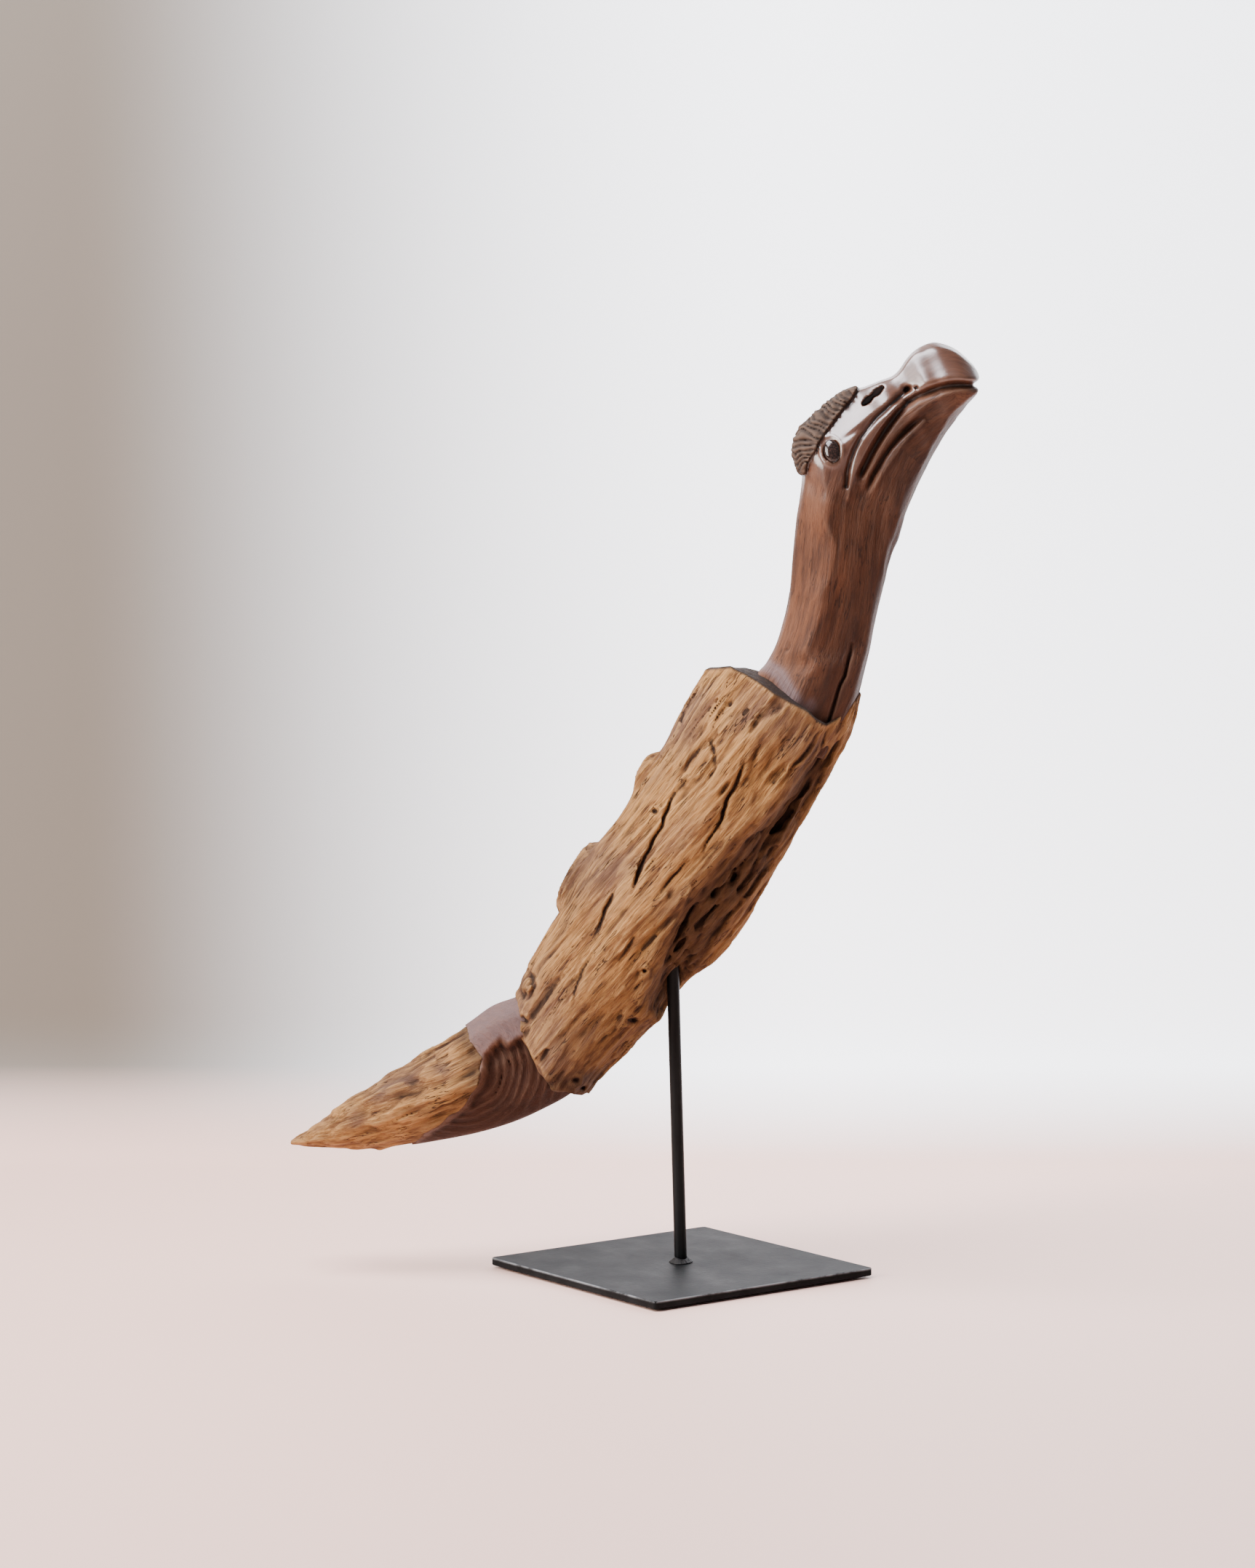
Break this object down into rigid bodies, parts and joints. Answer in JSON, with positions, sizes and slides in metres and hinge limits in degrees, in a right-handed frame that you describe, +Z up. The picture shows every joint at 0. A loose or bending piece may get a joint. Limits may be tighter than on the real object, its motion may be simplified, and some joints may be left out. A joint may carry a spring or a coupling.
{
  "type": "carved bird figure on stand",
  "caption": "Carved long-necked wooden bird, rough on the body and polished on the neck, standing on a thin round steel rod and a flat square steel plate.",
  "frame": {"origin": "centre of the felt's underside, where the rod's line meets the surface that the stand rests on", "axes": "+Z up, +X the way the bird faces, +Y away from the side of the bird that carries the weathered channel"},
  "size_m": [0.438, 0.243, 0.5937],
  "materials": {
    "heartwood": "carved and polished dark red-brown heartwood, waxed to a satin gloss",
    "sapwood": "weathered golden-brown sapwood, fibrous, cracked and unfinished",
    "eye": "dark polished bead, high gloss",
    "plate_steel": "blackened mild steel, satin, worn bright along the edges",
    "rod_steel": "blackened round bar, satin",
    "weld_steel": "blackened weld bead, rippled",
    "felt": "thin dark felt sheet"
  },
  "bodies": {
    "stand": {"base_plate": "plate_steel", "support_rod": "rod_steel", "foot_weld": "weld_steel", "felt_sheet": "felt"},
    "bird": {"heartwood_core": "heartwood", "body_sapwood": "sapwood", "tail_sapwood": "sapwood", "eye_near": "eye", "eye_far": "eye"}
  },
  "joints": [
    {"name": "bird_swivel", "type": "hinge", "parent": "stand", "child": "bird", "pos_m": [0, 0, 0.0065], "axis": [-0.0279, 0, 0.9996], "continuous": true}
  ]
}
